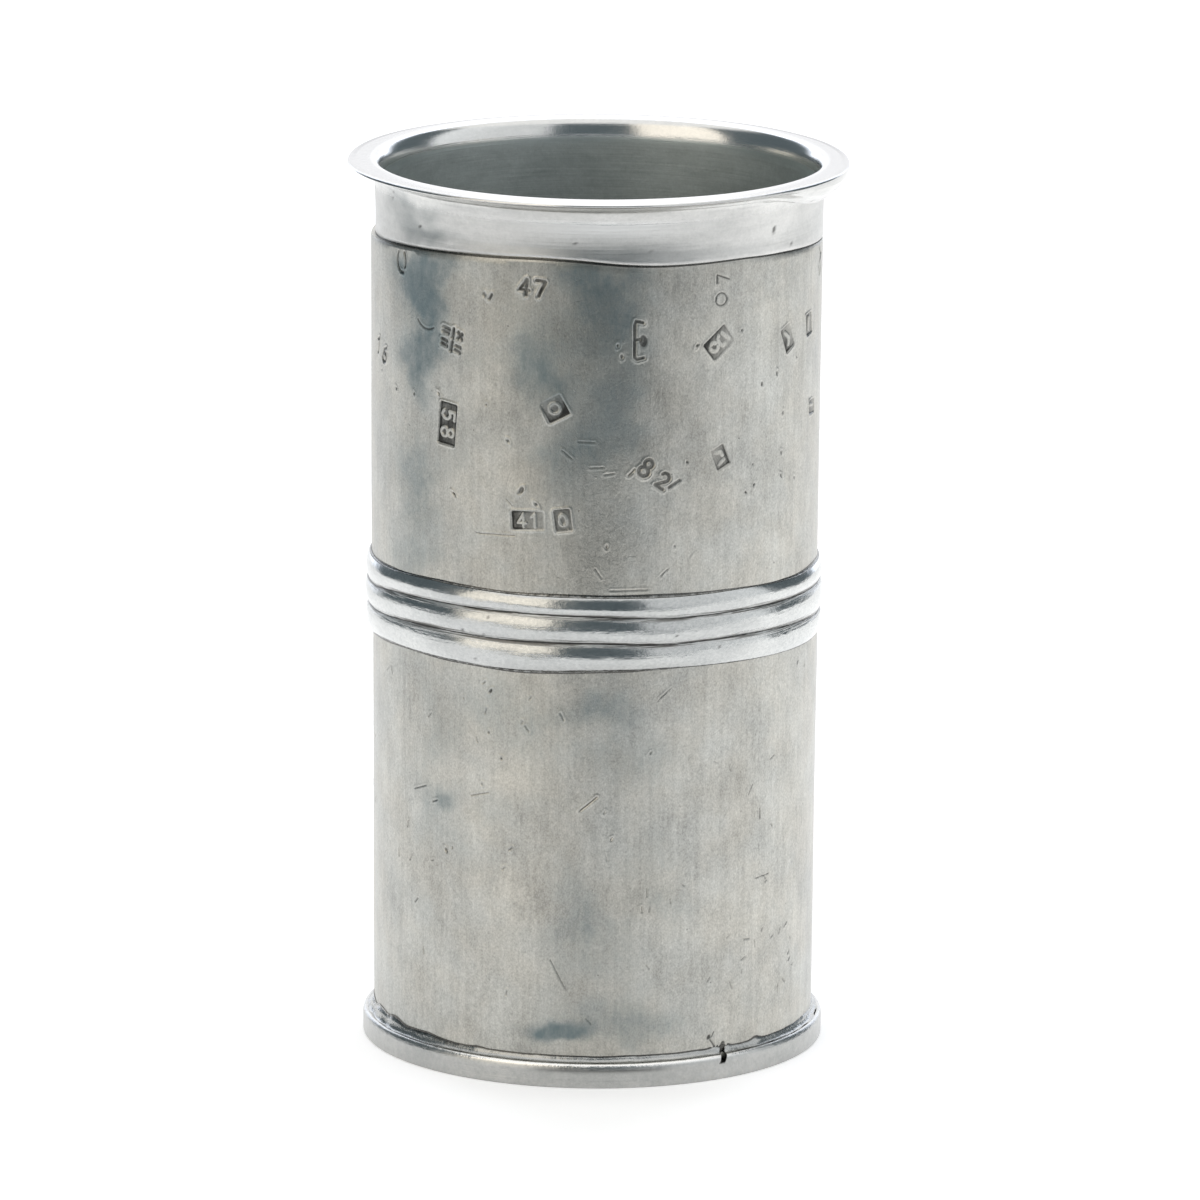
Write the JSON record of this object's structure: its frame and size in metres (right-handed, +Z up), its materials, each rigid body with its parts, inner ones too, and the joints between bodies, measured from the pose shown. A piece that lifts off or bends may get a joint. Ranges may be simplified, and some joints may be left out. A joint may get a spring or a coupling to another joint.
{
  "type": "liquid measure",
  "caption": "Cylindrical pewter liquid measure with a flared brim, a reeded band at mid height and a strip foot, open at the top and without a handle.",
  "frame": {"origin": "on the table plane under the middle of the foot ring", "axes": "+Z up along the vessel's axis, -Y towards the front that the picture shows, +X to the right of the picture"},
  "size_m": [0.1002, 0.1002, 0.1794],
  "materials": {
    "turned_pewter": "satin pewter with horizontal turning lines",
    "cast_pewter": "worn satin pewter with fine upright scratches and blue-grey tarnish",
    "polished_pewter": "pewter polished by handling, tarnished in the grooves",
    "strip_pewter": "satin pewter strip with a few dents",
    "dull_pewter": "dull grey pewter that isn't polished",
    "solder": "uneven tin solder, wiped smooth by hand"
  },
  "bodies": {
    "root": {"lip_collar": "turned_pewter", "collar_solder": "solder", "upper_drum": "cast_pewter", "reed_band": "polished_pewter", "band_solder_upper": "solder", "band_solder_lower": "solder", "lower_drum": "cast_pewter", "foot_ring": "strip_pewter", "foot_solder": "solder", "base_disc": "dull_pewter", "base_solder": "solder"}
  },
  "joints": []
}
